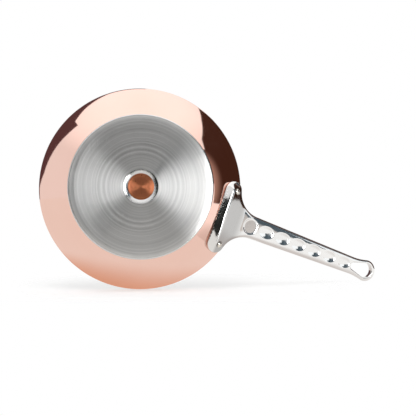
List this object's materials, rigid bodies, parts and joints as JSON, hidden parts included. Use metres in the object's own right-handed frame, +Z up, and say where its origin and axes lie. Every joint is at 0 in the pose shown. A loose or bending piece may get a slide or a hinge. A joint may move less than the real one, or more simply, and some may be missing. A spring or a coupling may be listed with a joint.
{
  "type": "frying pan",
  "caption": "Shallow flared copper frying pan with a steel lining, a bonded steel base plate with a central medallion, and a riveted cast handle with thumb scoops and a hanging eye.",
  "frame": {"origin": "under the middle of the whole outline's box, on the plane of the base plate's underside; the pan's own axis is at x = -0.10138 m", "axes": "+Z up out of the pan's mouth, +X along the handle in plan, +Y to the handle's left"},
  "size_m": [0.4422, 0.2396, 0.1264],
  "materials": {
    "copper": "polished copper",
    "lining_steel": "satin, turned",
    "plate_steel": "brushed in circles",
    "medallion_copper": "brushed copper, darkened",
    "cast_steel": "polished stainless casting",
    "rivet_steel": "polished stainless"
  },
  "bodies": {
    "root": {"copper_shell": "copper", "steel_lining": "lining_steel", "base_plate": "plate_steel", "base_medallion": "medallion_copper", "handle": "cast_steel", "handle_rivet_left": "rivet_steel", "handle_rivet_right": "rivet_steel"}
  },
  "joints": []
}
